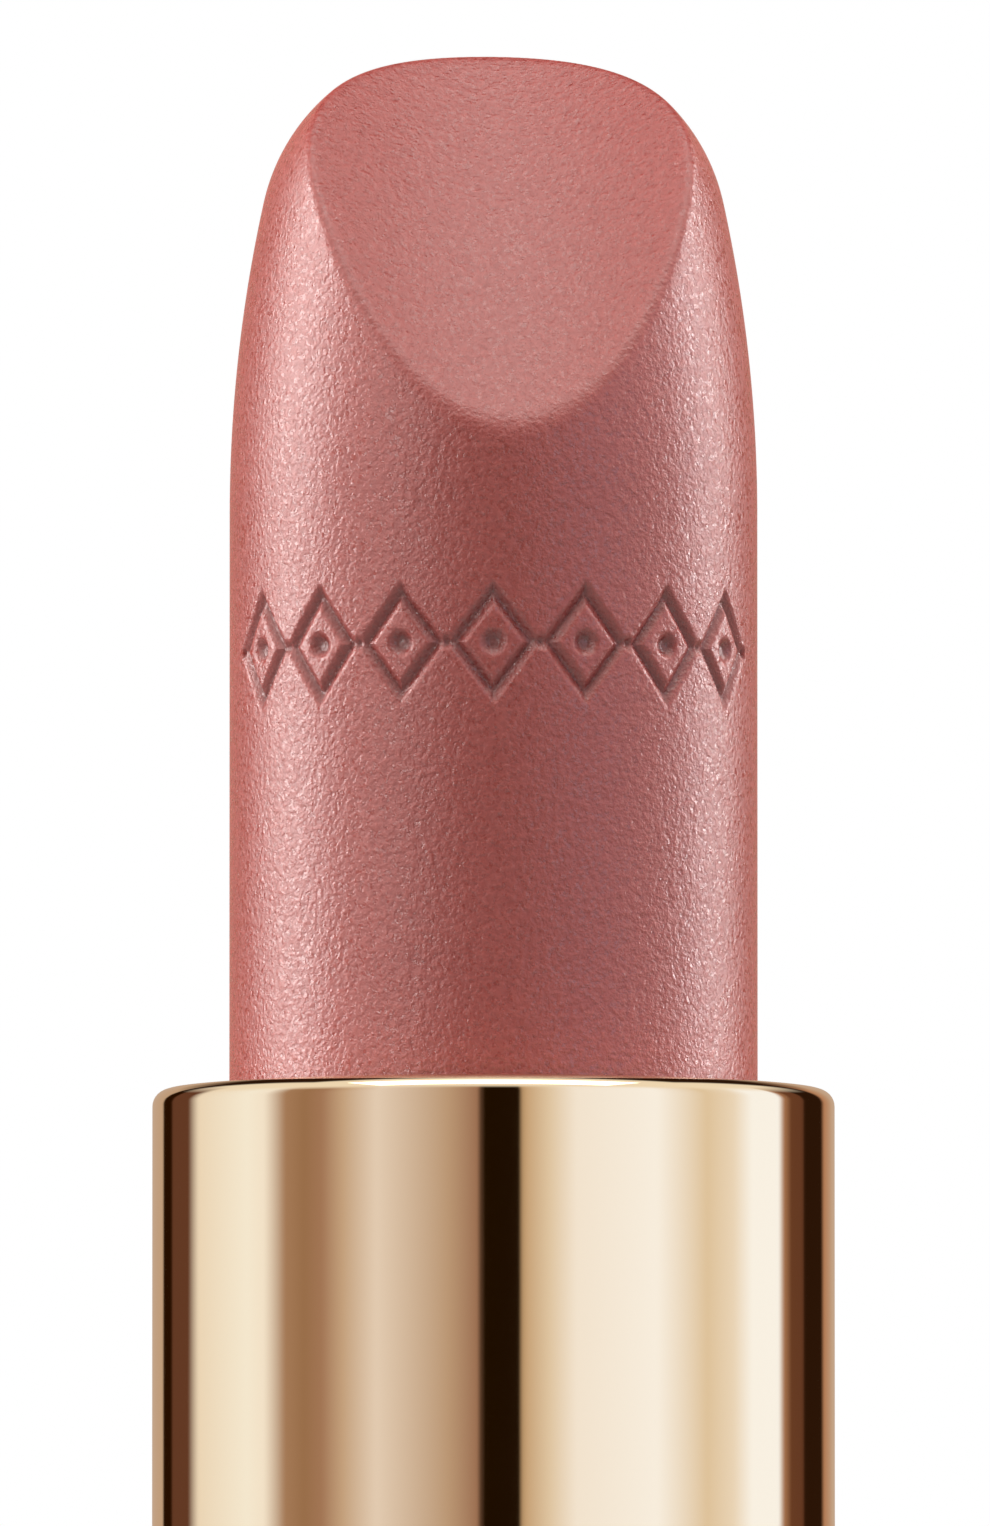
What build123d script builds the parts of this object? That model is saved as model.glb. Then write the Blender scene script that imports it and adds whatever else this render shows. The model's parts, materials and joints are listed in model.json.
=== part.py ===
from build123d import *
from math import asin, cos, pi, radians, sin, sqrt
import os

# A twist-up lipstick case with its lipstick raised and its cap standing beside it.
# Millimetres, +Z up. The origin is the centre of the base's underside, on the axis that
# the tube turns about and the lipstick rises along. The slanted face looks to -Y.

# Lipstick
bullet_radius = 6.35
bullet_above_rim = 25.2
ogive_length = 7.5  # height over which the side leans in, under the round tip
ogive_radius = 35.0
tip_flat = 0.8
face_angle = 50.0  # from the horizontal
face_past_axis = 1.75  # where the face runs out at the tip's height
face_hollow_radius = 9.5  # across the face
face_bow_radius = 87.0  # along the face
crease_radius = 0.2

# Case
base_height = 27.0
base_radius = 10.25
tube_above_base = 27.0
tube_radius = 8.2
tube_wall = 0.3
lip_gap = 0.25  # round the lipstick, where the rim is rolled in
lip_thickness = 0.35
rim_corner = 0.4
neck_height = 3.5
neck_radius = 8.95
flange_thickness = 0.8
shell_wall = 0.5
liner_wall = 0.75
edge_round = 0.4

# Twist mechanism
stroke = 26.0
turns = 1.5
sleeve_below_lip = 0.65
cup_height = 9.0
cup_wall = 0.4
cup_floor = 0.8
cup_below_rim = 1.4
lug_radius = 0.8
lug_rise = 1.8  # from the cup's underside to the middle of its lugs
fork_wall = 0.42
fork_floor = 0.8
fork_hole_radius = 2.1
seat_flange = 1.0
groove_depth = 0.36
groove_start = 1.2  # wall left under the lowest place of the lugs
tube_foot_thickness = 0.5
tube_foot_reach = 0.5
brake_section = 0.4
brake_inset = 0.17  # middle of the brake ring, in from the outside of the tube

# Base fittings
weight_thickness = 4.0
label_radius = 7.0
label_thickness = 0.1
recess_depth = 0.25
knurl_count = 24
knurl_depth = 0.25

# Cap
cap_room = 12.0  # free height over the tube's rim inside the closed cap
cap_liner_wall = 0.6
cap_weight_thickness = 3.4
cap_ring_height = 1.2
top_plate_radius = 7.6
top_plate_thickness = 0.5
cap_place = (27.0, 8.0)

# Clearances
running = 0.06  # round pieces that turn or slide in each other
bonded = 0.03  # pieces glued or pressed together
turning_gap = 0.15  # tube to collar
side_play = 0.1  # lugs in their slots and grooves
end_play = 0.1  # tube foot between its two seats

# Radii from the lipstick outwards
lip_radius = bullet_radius + lip_gap
cup_outer = bullet_radius + cup_wall
fork_inner = cup_outer + running
fork_outer = fork_inner + fork_wall
sleeve_inner = fork_outer + running
groove_radius = sleeve_inner + groove_depth
tube_inner = tube_radius - tube_wall
sleeve_outer = tube_inner - bonded
lug_reach = groove_radius - side_play
collar_inner = tube_radius + turning_gap
tube_foot_radius = tube_radius + tube_foot_reach
brake_circle = tube_radius - brake_inset
shell_inner = base_radius - shell_wall
liner_outer = shell_inner - bonded
liner_inner = liner_outer - liner_wall
flange_radius = liner_inner - bonded
collar_skirt = liner_inner - bonded

# Heights from the base's underside
rim_height = base_height + tube_above_base
tip_height = rim_height + bullet_above_rim
cup_top = rim_height - cup_below_rim
cup_bottom = cup_top - cup_height
lug_height = cup_bottom + lug_rise
bullet_bottom = cup_bottom + cup_floor
sleeve_top = rim_height - lip_thickness - sleeve_below_lip
lug_lowest = lug_height - stroke
seat_height = lug_lowest - lug_radius - groove_start
tube_bottom = seat_height + end_play
brake_height = tube_bottom - brake_section
skirt_bottom = tube_bottom + tube_foot_thickness + end_play
weight_top = shell_wall + bonded + weight_thickness

STAND = (Align.CENTER, Align.CENTER, Align.MIN)


def disc(radius, low, high):
    return Pos(0, 0, low) * Cylinder(radius, high - low, align=STAND)


def ring(inner, outer, low, high):
    return disc(outer, low, high) - disc(inner, low, high)


def turned(*edges):
    """Solid of revolution from the edges of a closed half section, radius then height."""
    return revolve(Plane.XZ * make_face(edges), Axis.Z)


def edges_at(part, height, radius):
    """Circular edges of a turned piece at this height and radius."""
    found = part.edges().filter_by(GeomType.CIRCLE).filter_by_position(Axis.Z, height - 0.01, height + 0.01)
    return [edge for edge in found if abs(edge.radius - radius) < 0.01]


def nose_section():
    """Half section of the whole lipstick before its face is cut."""
    lean = asin(ogive_length / ogive_radius)
    joint_radius = bullet_radius - ogive_radius * (1 - cos(lean))
    tip_radius = (joint_radius - tip_flat) / cos(lean)
    joint_height = tip_height - tip_radius * (1 - sin(lean))
    nose_start = joint_height - ogive_length
    foot = Polyline(
        (0, tip_height), (0, bullet_bottom), (bullet_radius, bullet_bottom), (bullet_radius, nose_start)
    )
    ogive = TangentArc((bullet_radius, nose_start), (joint_radius, joint_height), tangent=(0, 1))
    tip = TangentArc((joint_radius, joint_height), (tip_flat, tip_height), tangent=(-sin(lean), cos(lean)))
    return foot, ogive, tip, Line((tip_flat, tip_height), (0, tip_height))


def face_cutter():
    """Spool whose waist leaves the slanted face: hollow across and slightly bowed along."""
    slant = radians(face_angle)
    length = (bullet_radius + face_past_axis) / cos(slant)
    bow = face_bow_radius - sqrt(face_bow_radius**2 - (length / 2) ** 2)
    reach = length / 2 + bullet_radius  # past both ends of the face
    drop = face_bow_radius - sqrt(face_bow_radius**2 - reach**2)
    low, middle, high = length / 2 - reach, length / 2, length / 2 + reach
    plane = Plane(
        origin=(0, -bullet_radius, tip_height - length * sin(slant)),
        x_dir=(0, -sin(slant), cos(slant)),
        z_dir=(-1, 0, 0),
    )
    waist = ThreePointArc((bow - drop, low), (bow, middle), (bow - drop, high))
    body = Polyline(
        (bow - drop, high), (face_hollow_radius, high), (face_hollow_radius, low), (bow - drop, low)
    )
    axis = Axis(plane.from_local_coords((face_hollow_radius, 0, 0)), plane.y_dir)
    return revolve(plane * make_face([waist, body]), axis)


def lipstick_bullet():
    whole = turned(*nose_section())
    cut = whole - face_cutter()
    crease = cut.faces().sort_by(Axis.Y)
    slanted = [face for face in crease if face.normal_at().Y < -0.5 and face.normal_at().Z > 0.3]
    face = max(slanted, key=lambda piece: piece.area)
    return fillet(face.edges(), crease_radius)


def bullet_cup():
    cup = disc(cup_outer, cup_bottom, cup_top) - disc(bullet_radius, bullet_bottom, cup_top)
    cup = chamfer(edges_at(cup, cup_bottom, cup_outer), cup_wall / 2)
    lug = Pos(0, 0, lug_height) * Rot(0, 90, 0) * Cylinder(lug_radius, lug_reach, align=STAND)
    lug -= disc(bullet_radius + cup_wall / 2, cup_bottom, cup_top)
    for turn in (0, 180):
        cup += Rot(0, 0, turn) * lug
    return cup


def guide_fork():
    """Slotted sleeve that keeps the cup from turning, with the foot that grips the base."""
    slot_top = lug_height + lug_radius + 2 * side_play
    slot_bottom = lug_lowest - lug_radius - 2 * side_play
    floor_top = cup_bottom - stroke - 2 * end_play
    floor_bottom = floor_top - fork_floor
    foot_radius = liner_inner - bonded - knurl_depth
    fork = ring(fork_inner, fork_outer, floor_bottom, cup_top + 2 * end_play)
    fork += ring(fork_inner, flange_radius, seat_height - seat_flange, seat_height)
    fork += ring(fork_inner, foot_radius, weight_top, seat_height - seat_flange)
    fork += disc(fork_outer, floor_bottom, floor_top) - disc(fork_hole_radius, floor_bottom, floor_top)
    rib = Box(2 * knurl_depth, 2 * knurl_depth, seat_height - seat_flange - weight_top, align=STAND)
    for place in PolarLocations(foot_radius, knurl_count):
        fork += Pos(0, 0, weight_top) * place * rib
    slot = Pos(0, 0, slot_bottom) * Box(
        3 * fork_outer, 2 * (lug_radius + side_play), slot_top - slot_bottom, align=STAND
    )
    fork -= slot & ring(fork_inner - fork_wall, fork_outer + running, slot_bottom, slot_top)
    return fork - Pos(0, 0, brake_height) * Torus(brake_circle, brake_section)


def spiral_sleeve():
    """Sleeve glued in the tube: two blind right-handed grooves drive the lugs up and down."""
    sleeve = ring(sleeve_inner, sleeve_outer, tube_bottom, sleeve_top)
    half_width = lug_radius + side_play
    lead = stroke / turns
    overrun = half_width / sqrt((2 * pi * sleeve_inner) ** 2 + lead**2)  # in turns, past each stop
    path = Helix(
        lead, (turns + 2 * overrun) * lead, sleeve_inner, center=(0, 0, lug_lowest - overrun * lead)
    )
    start = Plane(origin=path @ 0, x_dir=(1, 0, 0), z_dir=path % 0)
    groove = sweep(start * Rectangle(2 * groove_depth, 2 * half_width), path=path, is_frenet=True)
    for turn in (0, 0.5):
        sleeve -= Rot(0, 0, 360 * (turn - turns - overrun)) * groove
    return sleeve


def brake_ring():
    """Silicone ring that drags on the tube, so the lipstick stays where it is set."""
    return Pos(0, 0, brake_height) * Torus(brake_circle, brake_section - bonded)


def tube_shell():
    """Drawn tube with its rim rolled in over the cup and its foot flared under the collar."""
    lip_under = rim_height - lip_thickness
    lip_roll = lip_thickness / 2
    inner_corner = rim_corner - tube_wall
    foot_top = tube_bottom + tube_foot_thickness
    outside = Polyline(
        (tube_inner, tube_bottom),
        (tube_foot_radius, tube_bottom),
        (tube_foot_radius, foot_top),
        (tube_radius, foot_top),
        (tube_radius, rim_height - rim_corner),
    )
    shoulder = TangentArc(outside @ 1, (tube_radius - rim_corner, rim_height), tangent=(0, 1))
    top = Line(shoulder @ 1, (lip_radius + lip_roll, rim_height))
    roll = ThreePointArc(top @ 1, (lip_radius, rim_height - lip_roll), (lip_radius + lip_roll, lip_under))
    under = Line(roll @ 1, (tube_inner - inner_corner, lip_under))
    bend = TangentArc(under @ 1, (tube_inner, lip_under - inner_corner), tangent=(1, 0))
    return turned(outside, shoulder, top, roll, under, bend, Line(bend @ 1, (tube_inner, tube_bottom)))


def neck_collar():
    """Collar that holds the tube down and carries the cap on its neck."""
    neck_top = base_height + neck_height
    collar = ring(collar_inner, collar_skirt, skirt_bottom, base_height)
    collar += ring(collar_inner, base_radius, base_height, base_height + flange_thickness)
    collar += ring(collar_inner, neck_radius, base_height, neck_top)
    collar = fillet(edges_at(collar, neck_top, neck_radius), edge_round / 2)
    return fillet(edges_at(collar, base_height + flange_thickness, base_radius), edge_round / 2)


def base_liner():
    return ring(liner_inner, liner_outer, weight_top, base_height - bonded)


def base_shell():
    shell = disc(base_radius, 0, base_height) - disc(shell_inner, shell_wall, base_height)
    shell -= disc(label_radius + side_play, 0, recess_depth)
    shell = fillet(edges_at(shell, 0, base_radius), edge_round)
    return fillet(edges_at(shell, base_height, base_radius), edge_round / 2)


def base_weight():
    weight = disc(shell_inner - bonded, shell_wall + bonded, weight_top - bonded)
    return chamfer(weight.edges().filter_by(GeomType.CIRCLE), edge_round / 2)


def shade_label():
    return disc(label_radius, recess_depth - label_thickness, recess_depth)


cap_inner = neck_radius + running
cap_liner_outer = cap_inner + cap_liner_wall
cap_inside = tube_above_base - flange_thickness + cap_room
cap_liner_top = cap_inside + cap_liner_wall
cap_weight_top = cap_liner_top + bonded + cap_weight_thickness
cap_height = cap_weight_top + bonded + shell_wall + top_plate_thickness
cap_shell_inner = cap_liner_outer + bonded


def beside(piece):
    return Pos(*cap_place, 0) * piece


def cap_shell():
    """Outer shell of the cap, open below, with a recess on top for the plate."""
    shell = disc(base_radius, cap_ring_height, cap_height)
    shell -= disc(cap_shell_inner, cap_ring_height, cap_weight_top + bonded)
    shell -= disc(top_plate_radius + side_play / 2, cap_height - top_plate_thickness, cap_height)
    shell = fillet(edges_at(shell, cap_height, base_radius), edge_round)
    return beside(shell)


def cap_liner():
    """Plastic inner cap: its mouth slides on the neck."""
    mouth_step = cap_ring_height / 2
    liner = disc(cap_liner_outer, mouth_step, cap_liner_top) - disc(cap_inner, mouth_step, cap_inside)
    return beside(liner)


def cap_weight():
    weight = disc(cap_shell_inner - bonded, cap_liner_top + bonded, cap_weight_top)
    return beside(chamfer(weight.edges().filter_by(GeomType.CIRCLE), edge_round / 2))


def cap_top_plate():
    plate = disc(top_plate_radius, cap_height - top_plate_thickness, cap_height)
    return beside(fillet(edges_at(plate, cap_height, top_plate_radius), edge_round / 4))


def cap_rim_ring():
    trim = ring(cap_shell_inner, base_radius, 0, cap_ring_height)
    return beside(fillet(edges_at(trim, 0, base_radius), edge_round / 2))


PIECES = [
    lipstick_bullet,
    bullet_cup,
    guide_fork,
    spiral_sleeve,
    brake_ring,
    tube_shell,
    neck_collar,
    base_liner,
    base_shell,
    base_weight,
    shade_label,
    cap_shell,
    cap_liner,
    cap_weight,
    cap_top_plate,
    cap_rim_ring,
]

os.makedirs("parts", exist_ok=True)
for make in PIECES:
    export_step(make(), f"parts/{make.__name__}.step")
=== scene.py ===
import json
from math import asin, atan2, cos, pi, radians, sin, sqrt

import bpy
import numpy as np
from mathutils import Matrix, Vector


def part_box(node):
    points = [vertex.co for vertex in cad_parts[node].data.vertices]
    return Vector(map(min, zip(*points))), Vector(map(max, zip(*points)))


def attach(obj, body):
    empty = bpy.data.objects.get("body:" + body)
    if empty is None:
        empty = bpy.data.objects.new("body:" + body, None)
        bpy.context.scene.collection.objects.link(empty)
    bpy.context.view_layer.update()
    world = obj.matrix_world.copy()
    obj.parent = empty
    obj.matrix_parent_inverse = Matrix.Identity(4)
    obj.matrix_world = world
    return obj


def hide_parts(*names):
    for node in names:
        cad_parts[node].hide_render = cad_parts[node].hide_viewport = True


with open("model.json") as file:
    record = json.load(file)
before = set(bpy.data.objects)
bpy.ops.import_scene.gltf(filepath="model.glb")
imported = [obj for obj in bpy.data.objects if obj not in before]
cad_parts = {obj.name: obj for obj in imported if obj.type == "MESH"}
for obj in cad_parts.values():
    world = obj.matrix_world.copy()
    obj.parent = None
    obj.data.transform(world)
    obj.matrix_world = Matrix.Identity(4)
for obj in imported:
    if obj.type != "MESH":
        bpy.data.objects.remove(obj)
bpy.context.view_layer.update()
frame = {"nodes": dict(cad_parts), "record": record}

# A twist-up lipstick with its cap standing beside it. Lengths are in millimetres until a mesh
# is made; MM turns them into metres. Heights are from the surface that the case stands on.

MM = 0.001


def low_high(name):
    """Lowest and highest corner of a CAD node, in millimetres."""
    low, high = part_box(name)
    return low / MM, high / MM


# ---------------------------------------------------------------------------- sizes

bullet_low, bullet_high = low_high("lipstick_bullet")
tube_low, tube_high = low_high("tube_shell")
collar_low, collar_high = low_high("neck_collar")
base_high = low_high("base_shell")[1]
cap_low, cap_high = low_high("cap_shell")
liner_low, liner_high = low_high("cap_liner")
plate_low, plate_high = low_high("cap_top_plate")
trim_high = low_high("cap_rim_ring")[1]
mounts = {mount["name"]: mount for mount in frame["record"]["mounts"]}

BULLET_RADIUS = bullet_high.x
RIM = tube_high.z
TIP_ABOVE_RIM = 25.2  # of the round nose, before its face is cut
OGIVE_LENGTH = 7.5  # height over which the side leans in, under the round tip
OGIVE_RADIUS = 35.0
TIP_FLAT = 0.8
FACE_ANGLE = radians(50)  # from the horizontal
FACE_PAST_AXIS = 1.75  # where the face runs out at the tip's height
FACE_HOLLOW = 9.5  # radius across the face
FACE_BOW = 87.0  # radius along the face
CREASE_BLEND = 0.22  # width over which the face runs into the nose
TUBE_FOOT_REACH = 0.5
TUBE_FOOT_THICKNESS = 0.5
TUBE_RADIUS = tube_high.x - TUBE_FOOT_REACH
TUBE_WALL = 0.3
LIP_GAP = 0.25  # round the lipstick, where the rim is rolled in
LIP_RADIUS = BULLET_RADIUS + LIP_GAP
LIP_THICKNESS = 0.35
LIP_ROUND = LIP_THICKNESS * 0.48
RIM_CORNER = 0.4
BASE_RADIUS = mounts["base_holder"]["dims"]["r_mm"]
NECK_RADIUS = mounts["cap_neck"]["dims"]["r_mm"]
CAP_BORE = mounts["cap_mouth"]["dims"]["r_mm"]
CAP_CENTRE = ((cap_low.x + cap_high.x) / 2, (cap_low.y + cap_high.y) / 2)
TURNING_GAP = 0.15
BONDED_GAP = 0.03
COLLAR_BORE = TUBE_RADIUS + TURNING_GAP
COLLAR_SKIRT = 8.94  # radius of the collar where it is pressed into the base
FLANGE_THICKNESS = 0.8
SHELL_WALL = 0.5
LABEL_RECESS_DEPTH = 0.25
LABEL_RECESS_RADIUS = 7.1
SHADE_DOT_RADIUS = 2.6
PLATE_RECESS_RADIUS = 7.65
PLATE_GROOVE = (0.9, 1.1, 1.3)  # outer edge, bottom and inner edge, in from the plate's rim
PLATE_GROOVE_DEPTH = 0.14
CAP_LINER_RADIUS = (liner_high.x - liner_low.x) / 2
CAP_SHELL_BORE = CAP_LINER_RADIUS + BONDED_GAP


# ---------------------------------------------------------------------------- mesh making


def make_piece(name, points, faces, body, node, finish):
    """Mesh object from points in millimetres that stands for a CAD node and rides on its body."""
    mesh = bpy.data.meshes.new(name)
    mesh.from_pydata([tuple(p) for p in np.asarray(points) * MM], [], faces)
    mesh.polygons.foreach_set("use_smooth", [True] * len(mesh.polygons))
    mesh.set_sharp_from_angle(angle=radians(35))
    mesh.materials.append(finish)
    piece = bpy.data.objects.new(name, mesh)
    bpy.context.scene.collection.objects.link(piece)
    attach(piece, body)
    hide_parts(node)
    return piece


def rounded(corners, steps=8, closed=True):
    """Outline through (radius, height, rounding) corners, each rounded by an arc."""
    outline = []
    count = len(corners)
    for i, (r, z, rounding) in enumerate(corners):
        here = np.array((r, z), float)
        if rounding == 0 or (not closed and i in (0, count - 1)):
            outline.append(here)
            continue
        before = np.array(corners[i - 1][:2], float) - here
        after = np.array(corners[(i + 1) % count][:2], float) - here
        before /= np.linalg.norm(before)
        after /= np.linalg.norm(after)
        half = np.arccos(np.clip(before @ after, -1, 1)) / 2
        bisector = (before + after) / np.linalg.norm(before + after)
        centre = here + bisector * rounding / sin(half)
        start = here + before * rounding / np.tan(half) - centre
        end = here + after * rounding / np.tan(half) - centre
        turn = atan2(start[0] * end[1] - start[1] * end[0], start @ end)
        for step in range(steps + 1):
            a = turn * step / steps
            out = start[0] * cos(a) - start[1] * sin(a)
            up = start[0] * sin(a) + start[1] * cos(a)
            outline.append(centre + (out, up))
    return outline


def supported(outline, closed=True, gap=0.04):
    """Outline with a point near each end of its long straights, which keeps their shading flat."""
    out = []
    for i, here in enumerate(outline):
        out.append(here)
        if i == len(outline) - 1 and not closed:
            break
        step = outline[(i + 1) % len(outline)] - here
        length = np.linalg.norm(step)
        if length > 4 * gap:
            out += [here + step * gap / length, here + step * (1 - gap / length)]
    return out


ON_AXIS = 1e-6


def lathe(outline, centre=(0, 0), segments=256, closed=True):
    """Points and faces of an outline turned about the vertical line through centre.

    The outline runs anticlockwise in (radius, height). An open one starts and ends on the axis.
    """
    angles = np.linspace(0, 2 * pi, segments, endpoint=False)
    points, rings = [], []
    for r, z in outline:
        if r < ON_AXIS:
            rings.append([len(points)] * segments)
            points.append((centre[0], centre[1], z))
        else:
            rings.append(list(range(len(points), len(points) + segments)))
            points += [(centre[0] + r * cos(a), centre[1] + r * sin(a), z) for a in angles]
    faces = []
    pairs = list(zip(rings, rings[1:])) + ([(rings[-1], rings[0])] if closed else [])
    for lower, upper in pairs:
        for i in range(segments):
            j = (i + 1) % segments
            corners = [lower[i], lower[j], upper[j], upper[i]]
            faces.append([c for k, c in enumerate(corners) if c != corners[k - 1]])
    return points, faces


def turned_piece(name, corners, body, node, finish, centre=(0, 0), closed=True):
    """Piece turned about centre from (radius, height, rounding) corners."""
    outline = supported(rounded(corners, closed=closed), closed)
    points, faces = lathe(outline, centre, closed=closed)
    return make_piece(name, points, faces, body, node, finish)


# ---------------------------------------------------------------------------- lipstick


def smooth_max(a, b, width):
    """The larger of two distances, blended where they differ by less than width."""
    overlap = np.maximum(width - np.abs(a - b), 0) / width
    return np.maximum(a, b) + overlap**2 * width / 4


def nose_distance(x, y, z):
    """Distance outside the round lipstick before its face is cut; negative inside."""
    lean = asin(OGIVE_LENGTH / OGIVE_RADIUS)
    joint_radius = BULLET_RADIUS - OGIVE_RADIUS * (1 - cos(lean))
    tip_radius = (joint_radius - TIP_FLAT) / cos(lean)
    tip_centre = RIM + TIP_ABOVE_RIM - tip_radius
    joint = tip_centre + tip_radius * sin(lean)
    nose_start = joint - OGIVE_LENGTH
    r = np.hypot(x, y)
    side = r - BULLET_RADIUS
    ogive = np.hypot(r + OGIVE_RADIUS - BULLET_RADIUS, z - nose_start) - OGIVE_RADIUS
    tip = np.hypot(np.maximum(r - TIP_FLAT, 0), z - tip_centre) - tip_radius
    return np.where(z < nose_start, side, np.where(z < joint, ogive, tip))


def face_distance(x, y, z):
    """Distance in front of the slanted face, which is hollow across and slightly bowed along."""
    length = (BULLET_RADIUS + FACE_PAST_AXIS) / cos(FACE_ANGLE)
    foot = RIM + TIP_ABOVE_RIM - length * sin(FACE_ANGLE)
    along = (y + BULLET_RADIUS) * cos(FACE_ANGLE) + (z - foot) * sin(FACE_ANGLE)
    out = -(y + BULLET_RADIUS) * sin(FACE_ANGLE) + (z - foot) * cos(FACE_ANGLE)
    sag = FACE_BOW - np.sqrt(np.maximum(FACE_BOW**2 - (along - length / 2) ** 2, 0))
    bow = FACE_BOW - sqrt(FACE_BOW**2 - (length / 2) ** 2)
    waist = FACE_HOLLOW - bow + sag
    return waist - np.hypot(out - FACE_HOLLOW, x)


def wax_distance(points):
    """Distance outside the lipstick with its face cut; negative inside."""
    x, y, z = points
    return smooth_max(nose_distance(x, y, z), face_distance(x, y, z), CREASE_BLEND)


def cast(origins, directions, reach=20.0):
    """Where rays from inside the lipstick leave it, by halving."""
    near = np.zeros(origins.shape[1])
    far = np.full(origins.shape[1], reach)
    for _ in range(40):
        middle = (near + far) / 2
        outside = wax_distance(origins + directions * middle) > 0
        far = np.where(outside, middle, far)
        near = np.where(outside, near, middle)
    return origins + directions * near


ORNAMENT_HEIGHT = 10.4  # of its middle above the tube's rim
ORNAMENT_TURN = radians(-4)  # of its middle from the front
ORNAMENT_COUNT = 7
ORNAMENT_PITCH = 2.26
LOZENGE_HALF = (0.92, 1.18)  # half its width and height
CUT_WIDTH = 0.4
CUT_DEPTH = 0.16
BEAD_RADIUS = 0.13


def ornament_depth(around, height):
    """Depth of the pressed row of lozenges, with a bead in each and a dot between neighbours."""
    half_width, half_height = LOZENGE_HALF
    row = np.abs(around) < ORNAMENT_PITCH * ORNAMENT_COUNT / 2
    place = (around + ORNAMENT_PITCH * ORNAMENT_COUNT / 2) % ORNAMENT_PITCH - ORNAMENT_PITCH / 2
    slope = half_width * half_height / np.hypot(half_width, half_height)
    outline = np.abs(np.abs(place) / half_width + np.abs(height) / half_height - 1) * slope
    bead = np.maximum(np.hypot(place, height) - BEAD_RADIUS, 0)
    link = np.hypot(np.abs(place) - ORNAMENT_PITCH / 2, height)
    nearest = np.minimum(np.minimum(outline, bead), link)
    return np.where(row, CUT_DEPTH * np.clip(1 - nearest / (CUT_WIDTH / 2), 0, 1), 0)


HUB_BEHIND = 0.8  # of the rays' hub behind the axis
HUB_ABOVE_ORNAMENT = 1.6
FRONT_EDGE = radians(105)  # either side of the front, where the rays are closest
FIRST_TILT = 0.4  # degrees from upright
TILTS = 190
BAND_STEP = 0.05  # between rings over the ornament
PLAIN_RINGS = 24  # between the ornament and the foot
FOOT_HEIGHT = 0.4
FOOT_SHARES = (0.94, 0.5)  # of the side's radius, on the underside


def lipstick_mesh(front=520, back=110):
    """Points, faces and how deeply each point is pressed, from 0 to 1.

    Rays fan out of a hub in the nose and run level below it. They are closest at the front.
    """
    hub_z = RIM + ORNAMENT_HEIGHT + HUB_ABOVE_ORNAMENT
    turn = np.concatenate(
        [
            np.linspace(-FRONT_EDGE, FRONT_EDGE, front, endpoint=False),
            np.linspace(FRONT_EDGE, 2 * pi - FRONT_EDGE, back, endpoint=False),
        ]
    )
    segments = front + back
    around_hub = np.array([np.sin(turn), -np.cos(turn)])
    rings = []
    for tilt in np.radians(np.linspace(FIRST_TILT, 90, TILTS)):
        origins = np.tile(np.array([[0], [HUB_BEHIND], [hub_z]], float), segments)
        directions = np.vstack([sin(tilt) * around_hub, np.full(segments, cos(tilt))])
        rings.append(cast(origins, directions))
    band_low = RIM + ORNAMENT_HEIGHT - HUB_ABOVE_ORNAMENT
    band = np.arange(hub_z - 0.06, band_low, -BAND_STEP)
    plain = np.linspace(band[-1] - 2 * BAND_STEP, bullet_low.z + FOOT_HEIGHT, PLAIN_RINGS)
    for z in [*band, *plain]:
        origins = np.tile(np.array([[0], [HUB_BEHIND], [z]], float), segments)
        rings.append(cast(origins, np.vstack([around_hub, np.zeros(segments)])))
    points = np.concatenate([ring.T for ring in rings])
    around = (np.arctan2(points[:, 0], -points[:, 1]) - ORNAMENT_TURN) * BULLET_RADIUS
    depth = ornament_depth(around, points[:, 2] - RIM - ORNAMENT_HEIGHT)
    points[:, :2] *= (1 - depth / BULLET_RADIUS)[:, None]
    foot = [[p[0] * s, p[1] * s, bullet_low.z] for s in FOOT_SHARES for p in rings[-1].T]
    top = cast(np.array([[0], [HUB_BEHIND], [hub_z]], float), np.array([[0], [0], [1]], float)).T
    points = np.concatenate([points, foot, top, [[0, 0, bullet_low.z]]])
    pressed = np.zeros(len(points))
    pressed[: len(depth)] = depth / CUT_DEPTH
    count = len(rings) + 2
    first_top = count * segments
    faces = [(first_top, i, (i + 1) % segments) for i in range(segments)]
    for ring in range(count - 1):
        for i in range(segments):
            j = (i + 1) % segments
            a, b = ring * segments, (ring + 1) * segments
            faces.append((a + i, b + i, b + j, a + j))
    last = (count - 1) * segments
    faces += [(first_top + 1, last + (i + 1) % segments, last + i) for i in range(segments)]
    return points, faces, pressed


# ---------------------------------------------------------------------------- finishes


def srgb(code):
    """Linear colour of an sRGB hex code."""
    channels = [int(code[i : i + 2], 16) / 255 for i in (0, 2, 4)]
    linear = [c / 12.92 if c <= 0.04045 else ((c + 0.055) / 1.055) ** 2.4 for c in channels]
    return (*linear, 1.0)


def add(tree, kind, inputs=(), **settings):
    """Add a node. An input is a value, or another node's output to link."""
    made = tree.nodes.new(kind)
    for name, value in settings.items():
        setattr(made, name, value)
    for socket, value in dict(inputs).items():
        if isinstance(value, bpy.types.NodeSocket):
            tree.links.new(value, made.inputs[socket])
        else:
            made.inputs[socket].default_value = value
    return made


def new_finish(name):
    """Empty material; returns it, its tree and the piece's own coordinates in metres."""
    made = bpy.data.materials.new(name)
    made.use_nodes = True
    made.node_tree.nodes.clear()
    place = add(made.node_tree, "ShaderNodeTexCoord").outputs["Object"]
    return made, made.node_tree, place


def finish_with(tree, **inputs):
    """Principled shader joined to the output; input names use _ for a space."""
    sockets = {name.replace("_", " "): value for name, value in inputs.items()}
    shader = add(tree, "ShaderNodeBsdfPrincipled", sockets)
    add(tree, "ShaderNodeOutputMaterial", {"Surface": shader.outputs[0]})


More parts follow.
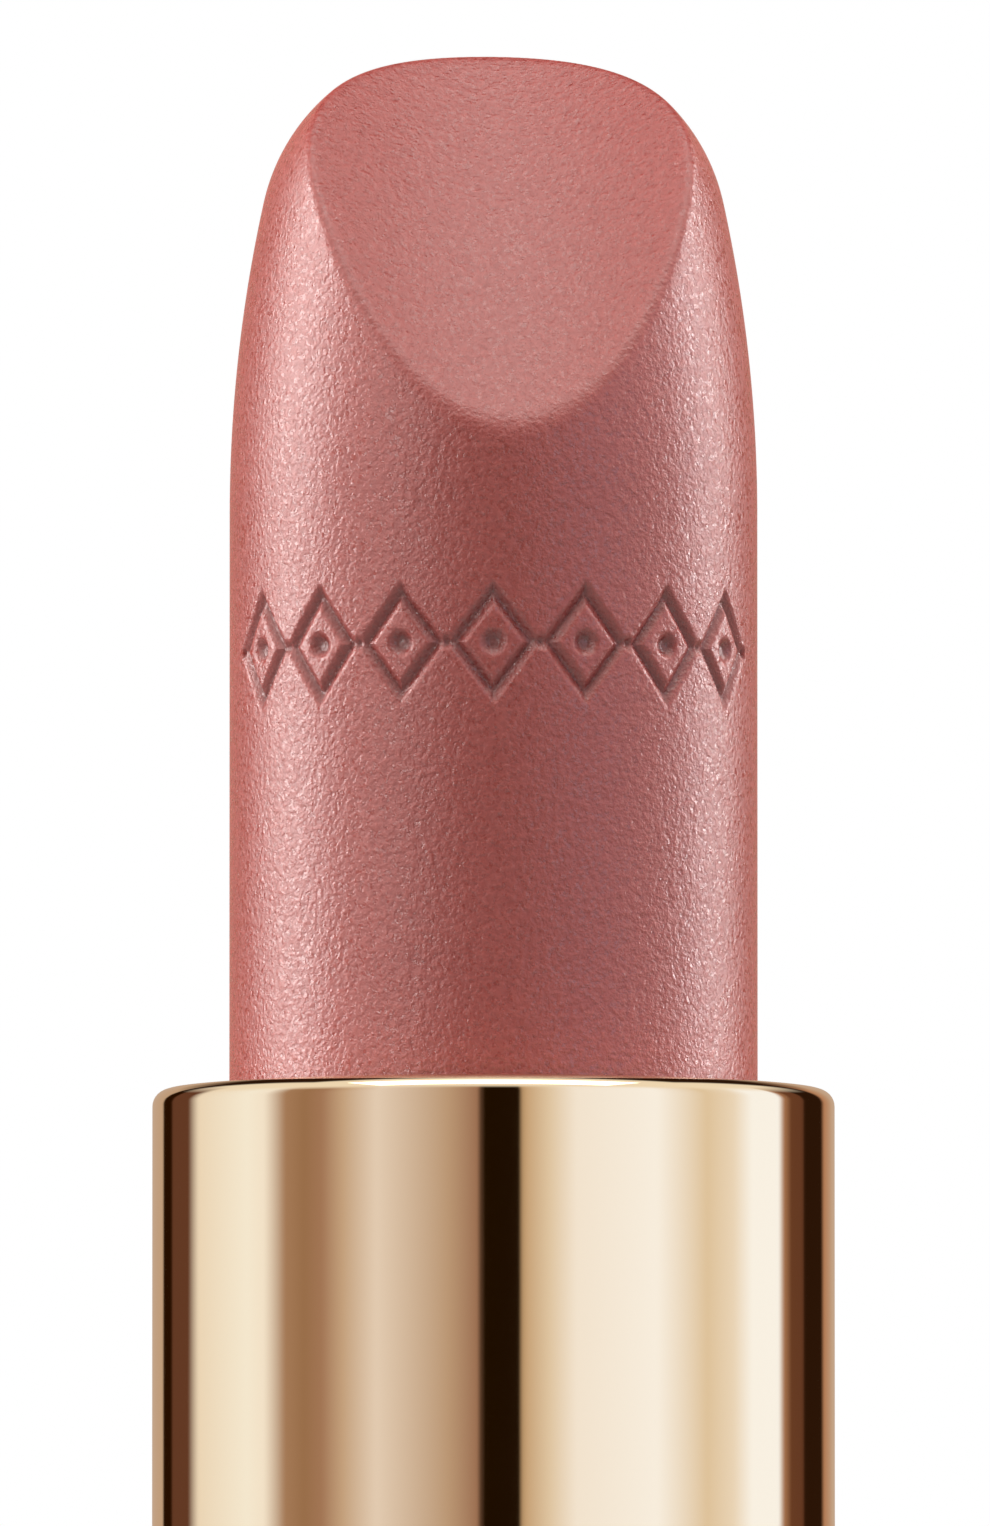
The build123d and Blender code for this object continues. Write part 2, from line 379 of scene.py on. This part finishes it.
def grain(tree, place, size_mm, detail=2.0, rough=0.5):
    """Noise whose lumps are about size_mm across."""
    return add(
        tree,
        "ShaderNodeTexNoise",
        {"Vector": place, "Scale": 1 / (size_mm * MM), "Detail": detail, "Roughness": rough},
    ).outputs["Fac"]


def between(tree, factor, low, high):
    """Factor 0 to 1 stretched to run from low to high."""
    return add(tree, "ShaderNodeMapRange", {"Value": factor, "To Min": low, "To Max": high}).outputs[0]


def stepped(tree, value, low, high):
    """0 where value is under low, 1 where it is over high, and a ramp between."""
    return add(tree, "ShaderNodeMapRange", {"Value": value, "From Min": low, "From Max": high}).outputs[0]


def mixed(tree, factor, first, second):
    """Colour that runs from first to second; each is a colour or another node's output."""
    colours = {"Factor": factor, 6: first, 7: second}
    return add(tree, "ShaderNodeMix", colours, data_type="RGBA").outputs[2]


def two_tone(tree, factor, dark, light):
    """Colour that runs between two sRGB hex codes."""
    return mixed(tree, factor, srgb(dark), srgb(light))


def raised(tree, height, distance_mm, strength, under=None):
    """Bumps as high as distance_mm, over the ones that are under them."""
    relief = {"Height": height, "Distance": distance_mm * MM, "Strength": strength}
    bump = add(tree, "ShaderNodeBump", relief)
    if under:
        tree.links.new(under, bump.inputs["Normal"])
    return bump.outputs[0]


def satin_lipstick_wax():
    """Moulded wax with mica pearl: a pebbled skin that breaks its highlights; painted shade in cuts and
    pits.

    The pearl's flakes are about 0.02 mm across; they are drawn 0.08 mm across to show.
    """
    made, tree, place = new_finish("satin_lipstick_wax")
    pebble = grain(tree, place, 0.15, detail=2.5, rough=0.6)
    fine = grain(tree, place, 0.08)
    # Darker where the skin's bumps are low: partly the wax's own grain tone, partly painted shade in the
    # pits.
    tone_and_pit_shade = stepped(tree, pebble, 0.3, 0.7)
    mica = add(tree, "ShaderNodeTexVoronoi", {"Vector": place, "Scale": 1 / (0.08 * MM)}).outputs["Color"]
    glint = stepped(tree, mica, 0.66, 0.74)
    skin = raised(tree, pebble, 0.05, 0.8)
    skin = raised(tree, fine, 0.02, 0.5, under=skin)
    # Painted shade: the colour turns towards dark red 6E2A28 where the ornament's cuts are pressed
    # deepest.
    pressed = add(tree, "ShaderNodeAttribute", attribute_name="pressed").outputs["Fac"]
    shade = between(tree, pressed, 0, 0.75)
    finish_with(
        tree,
        Base_Color=mixed(tree, shade, two_tone(tree, tone_and_pit_shade, "A64540", "BC5B55"), srgb("6E2A28")),
        Roughness=between(tree, glint, 0.4, 0.2),
        IOR=1.52,
        Specular_IOR_Level=1.0,
        Subsurface_Weight=0.12,
        Subsurface_Radius=(1.0, 0.4, 0.3),
        Subsurface_Scale=0.5 * MM,
        Normal=skin,
    )
    return made


def polished_gold(name, rough_low=0.03, rough_high=0.06):
    """Bright-dipped, gold-anodised aluminium: mirror clear, faint haze where it was buffed."""
    made, tree, place = new_finish(name)
    haze = grain(tree, place, 4.0, detail=4.0)
    ripple = grain(tree, place, 1.6, detail=1.0)
    finish_with(
        tree,
        Base_Color=srgb("F5E1C0"),
        Metallic=1.0,
        Roughness=between(tree, haze, rough_low, rough_high),
        Normal=raised(tree, ripple, 0.002, 0.25),
    )
    return made


def spun_gold_plate(centre):
    """Gold-anodised disc, faced on a lathe: rings too fine to count draw the light into a cross.

    The real feed marks are about 0.05 mm apart; they are drawn 0.24 mm apart to show.
    """
    made, tree, place = new_finish("spun_gold_plate")
    middle = (centre[0] * MM, centre[1] * MM, 0)
    moved = add(tree, "ShaderNodeVectorMath", {0: place, 1: middle}, operation="SUBTRACT").outputs[0]
    one_ring = 2 * pi / 20  # the wave's length at scale 1
    rings = add(
        tree,
        "ShaderNodeTexWave",
        {"Vector": moved, "Scale": one_ring / (0.24 * MM)},
        wave_type="RINGS",
        rings_direction="Z",
    ).outputs["Fac"]
    finish_with(
        tree,
        Base_Color=srgb("F2DCB6"),
        Metallic=1.0,
        Roughness=0.22,
        Normal=raised(tree, rings, 0.012, 0.6),
    )
    return made


def black_lacquer():
    """Black lacquer sprayed and baked on drawn aluminium, under a clear coat.

    The coat gives the deep gloss, with a trace of orange peel; the pigment under it is nearly dull.
    """
    made, tree, place = new_finish("black_lacquer")
    peel = grain(tree, place, 1.1, detail=1.0)
    dust = grain(tree, place, 0.35, detail=4.0, rough=0.7)
    finish_with(
        tree,
        Base_Color=two_tone(tree, dust, "060607", "0B0B0D"),
        Roughness=between(tree, dust, 0.05, 0.12),
        IOR=1.5,
        Specular_IOR_Level=0.1,
        Coat_Weight=1.0,
        Coat_Roughness=0.03,
        Coat_IOR=1.5,
        Normal=raised(tree, peel, 0.004, 0.2),
    )
    return made


def moulded_acetal():
    """Ivory acetal as it leaves the mould: slightly waxy, with faint flow marks."""
    made, tree, place = new_finish("moulded_acetal")
    flow = grain(tree, place, 2.0, detail=3.0)
    skin = grain(tree, place, 0.12)
    finish_with(
        tree,
        Base_Color=two_tone(tree, flow, "DAD5C8", "E6E2D6"),
        Roughness=between(tree, skin, 0.34, 0.46),
        IOR=1.48,
        Subsurface_Weight=0.1,
        Subsurface_Radius=(1.0, 0.9, 0.8),
        Subsurface_Scale=0.5 * MM,
        Normal=raised(tree, skin, 0.008, 0.3),
    )
    return made


def moulded_polypropylene():
    """Black polypropylene inner cap: satin, spark-eroded mould texture."""
    made, tree, place = new_finish("moulded_polypropylene")
    texture = grain(tree, place, 0.14, detail=3.0)
    finish_with(
        tree,
        Base_Color=two_tone(tree, texture, "151516", "1E1E20"),
        Roughness=between(tree, texture, 0.38, 0.55),
        IOR=1.49,
        Normal=raised(tree, texture, 0.01, 0.4),
    )
    return made


def zinc_plated_steel():
    """Tumbled steel slug with bright zinc: soft mottle and small dents."""
    made, tree, place = new_finish("zinc_plated_steel")
    mottle = grain(tree, place, 0.8, detail=4.0)
    finish_with(
        tree,
        Base_Color=two_tone(tree, mottle, "A9ABB0", "C9CBCE"),
        Metallic=1.0,
        Roughness=between(tree, mottle, 0.25, 0.45),
        Normal=raised(tree, mottle, 0.02, 0.3),
    )
    return made


def clear_silicone():
    """Translucent silicone rubber, slightly milky, with a dry skin."""
    made, tree, place = new_finish("clear_silicone")
    skin = grain(tree, place, 0.2)
    finish_with(
        tree,
        Base_Color=two_tone(tree, skin, "CFCFCB", "DEDEDA"),
        Roughness=between(tree, skin, 0.35, 0.5),
        IOR=1.41,
        Subsurface_Weight=0.4,
        Subsurface_Radius=(1.0, 1.0, 1.0),
        Subsurface_Scale=0.4 * MM,
    )
    return made


def label_paper():
    """Matt coated paper, blank but for a printed disc in the lipstick's shade."""
    made, tree, place = new_finish("label_paper")
    fibre = grain(tree, place, 0.15, detail=4.0, rough=0.65)
    flat = add(tree, "ShaderNodeVectorMath", {0: place, 1: (1, 1, 0)}, operation="MULTIPLY").outputs[0]
    away = add(tree, "ShaderNodeVectorMath", {0: flat}, operation="LENGTH").outputs["Value"]
    printed = add(tree, "ShaderNodeMath", {0: away, 1: SHADE_DOT_RADIUS * MM}, operation="LESS_THAN")
    paper = two_tone(tree, fibre, "E2DED6", "EEEBE4")
    finish_with(
        tree,
        Base_Color=mixed(tree, printed.outputs[0], paper, srgb("B9615C")),
        Roughness=between(tree, fibre, 0.55, 0.75),
        IOR=1.5,
        Normal=raised(tree, fibre, 0.01, 0.3),
    )
    return made


wax = satin_lipstick_wax()
gold = polished_gold("polished_champagne_gold")
satin_gold = polished_gold("drawn_gold_cup", 0.16, 0.24)
lacquer = black_lacquer()
acetal = moulded_acetal()
polypropylene = moulded_polypropylene()
zinc = zinc_plated_steel()

# ---------------------------------------------------------------------------- pieces

wax_points, wax_faces, wax_pressed = lipstick_mesh()
lipstick = make_piece("lipstick", wax_points, wax_faces, "bullet", "lipstick_bullet", wax)
# The pressed depth also drives the painted shade in the cuts.
lipstick.data.attributes.new("pressed", "FLOAT", "POINT").data.foreach_set("value", wax_pressed)

foot_top = tube_low.z + TUBE_FOOT_THICKNESS
tube_bore = TUBE_RADIUS - TUBE_WALL
gold_tube = turned_piece(
    "gold_tube",
    [
        (TUBE_RADIUS + TUBE_FOOT_REACH, tube_low.z, 0.1),
        (TUBE_RADIUS + TUBE_FOOT_REACH, foot_top, 0.1),
        (TUBE_RADIUS, foot_top, 0.1),
        (TUBE_RADIUS, RIM, RIM_CORNER),
        (LIP_RADIUS, RIM, LIP_ROUND),
        (LIP_RADIUS, RIM - LIP_THICKNESS, LIP_ROUND),
        (tube_bore, RIM - LIP_THICKNESS, RIM_CORNER - TUBE_WALL),
        (tube_bore, tube_low.z, 0.05),
    ],
    "tube",
    "tube_shell",
    gold,
)

flange_top = base_high.z + FLANGE_THICKNESS
turned_piece(
    "gold_collar",
    [
        (COLLAR_SKIRT, collar_low.z, 0.1),
        (COLLAR_SKIRT, base_high.z, 0.05),
        (BASE_RADIUS, base_high.z, 0.1),
        (BASE_RADIUS, flange_top, 0.25),
        (NECK_RADIUS, flange_top, 0.12),
        (NECK_RADIUS, collar_high.z, 0.3),
        (COLLAR_BORE, collar_high.z, 0.12),
        (COLLAR_BORE, collar_low.z, 0.1),
    ],
    "base",
    "neck_collar",
    gold,
)

shell_bore = BASE_RADIUS - SHELL_WALL
turned_piece(
    "lacquered_base",
    [
        (0, LABEL_RECESS_DEPTH, 0),
        (LABEL_RECESS_RADIUS, LABEL_RECESS_DEPTH, 0.04),
        (LABEL_RECESS_RADIUS, 0, 0.08),
        (BASE_RADIUS, 0, 0.45),
        (BASE_RADIUS, base_high.z, 0.22),
        (shell_bore, base_high.z, 0.1),
        (shell_bore, SHELL_WALL, 0.3),
        (0, SHELL_WALL, 0),
    ],
    "base",
    "base_shell",
    lacquer,
    closed=False,
)

turned_piece(
    "lacquered_cap",
    [
        (0, plate_low.z, 0),
        (PLATE_RECESS_RADIUS, plate_low.z, 0.03),
        (PLATE_RECESS_RADIUS, cap_high.z, 0.08),
        (BASE_RADIUS, cap_high.z, 0.45),
        (BASE_RADIUS, cap_low.z, 0.1),
        (CAP_SHELL_BORE, cap_low.z, 0.1),
        (CAP_SHELL_BORE, plate_low.z - SHELL_WALL, 0.2),
        (0, plate_low.z - SHELL_WALL, 0),
    ][::-1],
    "cap",
    "cap_shell",
    lacquer,
    centre=CAP_CENTRE,
    closed=False,
)

turned_piece(
    "gold_cap_ring",
    [
        (BASE_RADIUS, 0, 0.3),
        (BASE_RADIUS, trim_high.z, 0.12),
        (CAP_SHELL_BORE, trim_high.z, 0.05),
        (CAP_SHELL_BORE, 0, 0.12),
    ],
    "cap",
    "cap_rim_ring",
    gold,
    centre=CAP_CENTRE,
)

plate_radius = (plate_high.x - plate_low.x) / 2
turned_piece(
    "spun_cap_plate",
    [
        (0, plate_low.z, 0),
        (plate_radius, plate_low.z, 0.05),
        (plate_radius, plate_high.z, 0.14),
        (plate_radius - PLATE_GROOVE[0], plate_high.z, 0.08),
        (plate_radius - PLATE_GROOVE[1], plate_high.z - PLATE_GROOVE_DEPTH, 0.06),
        (plate_radius - PLATE_GROOVE[2], plate_high.z, 0.08),
        (0, plate_high.z, 0),
    ],
    "cap",
    "cap_top_plate",
    spun_gold_plate(CAP_CENTRE),
    centre=CAP_CENTRE,
    closed=False,
)

liner_top = mounts["cap_mouth"]["dims"]["length_mm"] + liner_low.z
turned_piece(
    "cap_inner_sleeve",
    [
        (CAP_LINER_RADIUS, liner_low.z, 0.15),
        (CAP_LINER_RADIUS, liner_high.z, 0.3),
        (0, liner_high.z, 0),
        (0, liner_top, 0),
        (CAP_BORE, liner_top, 0.5),
        (CAP_BORE, liner_low.z, 0.2),
    ],
    "cap",
    "cap_liner",
    polypropylene,
    centre=CAP_CENTRE,
)

# CAD pieces that keep their own shape.
CARRIED_OVER = {
    "bullet_cup": satin_gold,
    "guide_fork": acetal,
    "spiral_sleeve": acetal,
    "base_liner": acetal,
    "brake_ring": clear_silicone(),
    "base_weight": zinc,
    "cap_weight": zinc,
    "shade_label": label_paper(),
}
for name, finish in CARRIED_OVER.items():
    mesh = frame["nodes"][name].data
    mesh.materials.clear()
    mesh.materials.append(finish)

# ---------------------------------------------------------------------------- studio

VIEW_AZIMUTH = radians(-4)
VIEW_ELEVATION = radians(-3.5)
DISTANCE = 700.0
PICTURE_HEIGHT = 36.71  # seen at the lipstick's axis
AIM_ABOVE_RIM = 7.88
AIM_ASIDE = 0.036  # to the right of the lipstick's axis

# Cards and flags round the table, as (degrees to the right of the camera, colour).
CARDS = [
    # behind the case, on the left
    (-151, "A7907D"),
    (-149, "200D00"),
    (-141, "200D00"),
    (-139, "563628"),
    (-126, "563628"),
    # left: a wide card, then a bounce card
    (-119, "CFCBC8"),
    (-92, "D8DEE7"),
    (-84, "D6D8DF"),
    (-75, "917562"),
    (-67, "866953"),
    (-60, "8F7160"),
    (-52, "AD9A8C"),
    # front: a pale card, a dark flag in the middle, a pale card
    (-40, "C8C3C7"),
    (-15, "A49082"),
    (-5, "88695B"),
    (-4, "180C00"),
    (9, "190D04"),
    (10, "AC957D"),
    (19, "C5BDB5"),
    (28, "D6DAE7"),
    # right: one long card
    (57, "DBE4F8"),
    (77, "C4BAAD"),
    (89, "CECBCB"),
    (98, "DCE7FD"),
    (113, "DCE7FD"),
    # behind the case, on the right
    (116, "936E57"),
    (121, "5A3928"),
    (129, "573627"),
    (131, "241308"),
    (147, "241308"),
    (151, "9C7359"),
    (165, "A7907D"),
]


def studio_world():
    """White to the camera, cards and flags in reflections, even soft light for matt surfaces."""
    world = bpy.data.worlds.new("studio")
    bpy.context.scene.world = world
    world.use_nodes = True
    tree = world.node_tree
    tree.nodes.clear()
    way = add(tree, "ShaderNodeTexCoord").outputs["Generated"]
    turned = add(
        tree,
        "ShaderNodeVectorRotate",
        {"Vector": way, "Angle": pi / 2 - VIEW_AZIMUTH},
        rotation_type="Z_AXIS",
    ).outputs[0]
    parts = add(tree, "ShaderNodeSeparateXYZ", {0: turned})
    to_camera, to_right, up = (parts.outputs[axis] for axis in "XYZ")
    azimuth = add(tree, "ShaderNodeMath", {0: to_right, 1: to_camera}, operation="ARCTAN2")
    ramp = add(tree, "ShaderNodeValToRGB", {"Fac": stepped(tree, azimuth.outputs[0], -pi, pi)})
    stops = ramp.color_ramp.elements
    while len(stops) > 1:
        stops.remove(stops[0])
    for i, (degrees_right, colour) in enumerate(CARDS):
        stop = stops[0] if i == 0 else stops.new((degrees_right + 180) / 360)
        stop.position = (degrees_right + 180) / 360
        stop.color = srgb(colour)
    # The ceiling is pale over the camera and to both sides, and dark behind the case.
    sideways = add(tree, "ShaderNodeMath", {0: to_right}, operation="ABSOLUTE").outputs[0]
    ahead = stepped(tree, to_camera, -0.2, -0.05)
    aside = stepped(tree, sideways, 0.5, 0.6)
    pale = add(tree, "ShaderNodeMath", {0: ahead, 1: aside}, operation="MAXIMUM").outputs[0]
    ceiling = two_tone(tree, pale, "241308", "D2CDC6")
    room = mixed(tree, stepped(tree, up, 0.35, 0.6), ramp.outputs[0], ceiling)
    cards = add(tree, "ShaderNodeBackground", {"Color": room, "Strength": 1.45}).outputs[0]
    fill = add(tree, "ShaderNodeBackground", {"Color": srgb("FFFDFA"), "Strength": 0.07}).outputs[0]
    paper = add(tree, "ShaderNodeBackground", {"Color": srgb("FFFFFF"), "Strength": 1.0}).outputs[0]
    path = add(tree, "ShaderNodeLightPath")
    mirrored = path.outputs["Is Glossy Ray"]
    direct = path.outputs["Is Camera Ray"]
    lit = add(tree, "ShaderNodeMixShader", {0: mirrored, 1: fill, 2: cards}).outputs[0]
    shown = add(tree, "ShaderNodeMixShader", {0: direct, 1: lit, 2: paper}).outputs[0]
    add(tree, "ShaderNodeOutputWorld", {"Surface": shown})


LAMPS_ABOVE_RIM = 10.0  # the height that every lamp is aimed at


def softbox(name, right_of_camera, elevation, distance, size, brightness, only, mirrored=False):
    """Area light aimed at the lipstick. Lengths in metres.

    right_of_camera is in degrees. only lists the pieces that it lights, and mirrored says
    whether they also reflect it.
    """
    light = bpy.data.lights.new(name, "AREA")
    light.shape = "RECTANGLE"
    light.size, light.size_y = size
    light.energy = brightness * size[0] * size[1] * pi
    light.color = srgb("FFFAF6")[:3]
    lamp = bpy.data.objects.new(name, light)
    bpy.context.scene.collection.objects.link(lamp)
    turn = VIEW_AZIMUTH + radians(right_of_camera)
    target = Vector((0, 0, (RIM + LAMPS_ABOVE_RIM) * MM))
    out = Vector((sin(turn) * cos(elevation), -cos(turn) * cos(elevation), sin(elevation)))
    lamp.location = target + out * distance
    lamp.rotation_euler = (-out).to_track_quat("-Z", "Y").to_euler()
    lamp.visible_camera = False
    lamp.visible_glossy = mirrored
    group = bpy.data.collections.new(name + "_receivers")
    for piece in only:
        group.objects.link(piece)
    lamp.light_linking.receiver_collection = group


FLOOR_RADIUS = 900.0
FLOOR_DROP = 0.02  # under the case, so that their faces don't coincide


def pale_floor():
    """Matt card under the case, which throws back less light than it shows."""
    made, tree, place = new_finish("pale_floor")
    mottle = grain(tree, place, 3.0, detail=3.0)
    shown = two_tone(tree, mottle, "E9E8E6", "EDECEA")
    path = add(tree, "ShaderNodeLightPath")
    seen = add(
        tree,
        "ShaderNodeMath",
        {0: path.outputs["Is Camera Ray"], 1: path.outputs["Is Glossy Ray"]},
        operation="MAXIMUM",
    )
    finish_with(tree, Base_Color=mixed(tree, seen.outputs[0], srgb("B0AFAE"), shown), Roughness=0.7)
    mesh = bpy.data.meshes.new("floor")
    turns = np.linspace(0, 2 * pi, 96, endpoint=False)
    radius = FLOOR_RADIUS * MM
    edge = [(radius * cos(a), radius * sin(a), -FLOOR_DROP * MM) for a in turns]
    mesh.from_pydata(edge, [], [list(range(len(edge)))])
    mesh.materials.append(made)
    floor = bpy.data.objects.new("floor", mesh)
    bpy.context.scene.collection.objects.link(floor)


pale_floor()
studio_world()
others = [thing for thing in bpy.context.scene.objects if thing.type == "MESH" and thing != lipstick]
softbox("overhead", 0, radians(80), 0.7, (0.8, 0.8), 1.38, only=[lipstick])
softbox("room_light", 0, radians(80), 0.7, (0.8, 0.8), 2.7, only=others)
softbox("left_strip", -99, radians(4), 0.6, (0.36, 0.8), 5.9, only=[lipstick], mirrored=True)
softbox("shoulder_strip", -45, radians(4), 0.6, (0.07, 0.8), 6.3, only=[lipstick], mirrored=True)
softbox("right_strip", 113, radians(4), 0.6, (0.16, 0.8), 8.8, only=[lipstick], mirrored=True)
softbox("face_light", 60, radians(72), 0.6, (0.5, 0.5), 1.2, only=[lipstick], mirrored=True)
softbox("face_card", -60, radians(72), 0.6, (0.5, 0.5), 0.7, only=[lipstick], mirrored=True)
low_pieces = [thing for thing in others if thing != gold_tube and thing.name != "floor"]
softbox("back_card", 180, radians(48), 0.6, (1.2, 0.7), 1.0, only=low_pieces, mirrored=True)
softbox("rim_light", 0, radians(62), 0.5, (0.7, 0.3), 2.4, only=[gold_tube], mirrored=True)
softbox("right_glow", 84, radians(4), 0.6, (0.3, 0.8), 1.9, only=[lipstick])

camera_data = bpy.data.cameras.new("camera")
camera = bpy.data.objects.new("camera", camera_data)
bpy.context.scene.collection.objects.link(camera)
camera_data.lens = camera_data.sensor_width * DISTANCE / PICTURE_HEIGHT
camera_data.clip_start = 0.05
camera_data.clip_end = 10
aim = Vector((AIM_ASIDE * cos(VIEW_AZIMUTH), AIM_ASIDE * sin(VIEW_AZIMUTH), RIM + AIM_ABOVE_RIM)) * MM
level = cos(VIEW_ELEVATION)
away = Vector((sin(VIEW_AZIMUTH) * level, -cos(VIEW_AZIMUTH) * level, sin(VIEW_ELEVATION)))
camera.location = aim + away * DISTANCE * MM
camera.rotation_euler = (-away).to_track_quat("-Z", "Y").to_euler()
bpy.context.scene.camera = camera
bpy.context.scene.view_settings.view_transform = "Standard"
